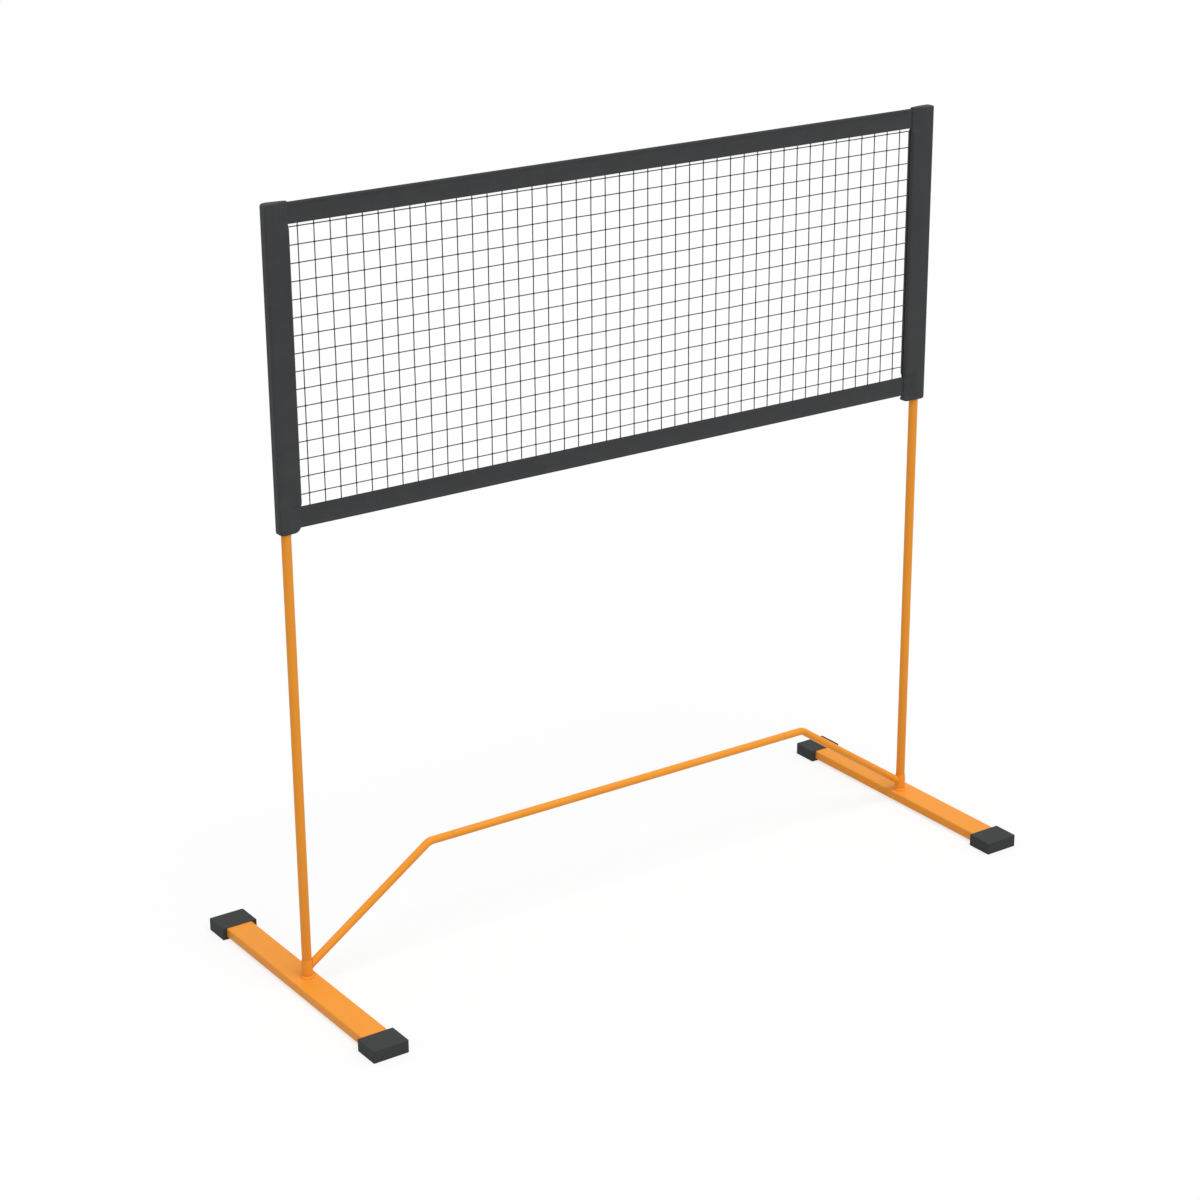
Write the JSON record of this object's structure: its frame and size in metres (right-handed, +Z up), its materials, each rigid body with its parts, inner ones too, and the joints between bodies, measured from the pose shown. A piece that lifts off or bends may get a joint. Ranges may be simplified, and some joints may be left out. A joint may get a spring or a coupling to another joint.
{
  "type": "portable padel net",
  "caption": "Free-standing portable net: flat floor bars with rubber end caps, arched crossbar, telescopic posts and a banded mesh panel of adjustable height.",
  "frame": {"origin": "on the floor, midway between the two floor bars and midway along them", "axes": "+X along the net to its right end, +Y to the rear, +Z up; the net faces -Y"},
  "size_m": [1.5926, 0.657, 1.55],
  "materials": {
    "orange_powder_coat": "satin",
    "dark_rubber": "matte",
    "black_plastic": "matte",
    "bright_steel": "satin",
    "dark_cloth": "matte",
    "net_cord": "matte"
  },
  "bodies": {
    "base": {"base_bar_left": "orange_powder_coat", "end_cap_front_left": "dark_rubber", "end_cap_rear_left": "dark_rubber", "post_socket_left": "orange_powder_coat", "lower_post_left": "orange_powder_coat", "guide_bush_left": "black_plastic", "crossbar_leg_left": "orange_powder_coat", "crossbar_joiner_left": "bright_steel", "base_bar_right": "orange_powder_coat", "end_cap_front_right": "dark_rubber", "end_cap_rear_right": "dark_rubber", "post_socket_right": "orange_powder_coat", "lower_post_right": "orange_powder_coat", "guide_bush_right": "black_plastic", "crossbar_leg_right": "orange_powder_coat", "crossbar_joiner_right": "bright_steel", "crossbar_tube": "orange_powder_coat"},
    "net_carriage": {"upper_post_left": "bright_steel", "post_top_plug_left": "black_plastic", "slide_plug_left": "black_plastic", "snap_spring_left": "bright_steel", "side_sleeve_left": "dark_cloth", "upper_post_right": "bright_steel", "post_top_plug_right": "black_plastic", "slide_plug_right": "black_plastic", "snap_spring_right": "bright_steel", "side_sleeve_right": "dark_cloth", "top_band": "dark_cloth", "bottom_band": "dark_cloth", "top_cord": "net_cord", "bottom_cord": "net_cord", "net_mesh": "net_cord"},
    "snap_button_left": {"snap_button_left": "bright_steel"},
    "snap_button_right": {"snap_button_right": "bright_steel"}
  },
  "joints": [
    {"name": "net_height", "type": "slide", "parent": "base", "child": "net_carriage", "axis": [0, 0, 1], "range_m": [-0.48, 0]},
    {"name": "press_left", "type": "slide", "parent": "net_carriage", "child": "snap_button_left", "axis": [0, -1, 0], "range_m": [0, 0.0035], "stiffness_N_per_m": 1500, "springref_m": -0.001, "deforming": ["snap_spring_left"]},
    {"name": "press_right", "type": "slide", "parent": "net_carriage", "child": "snap_button_right", "axis": [0, -1, 0], "range_m": [0, 0.0035], "stiffness_N_per_m": 1500, "springref_m": -0.001, "deforming": ["snap_spring_right"]}
  ]
}
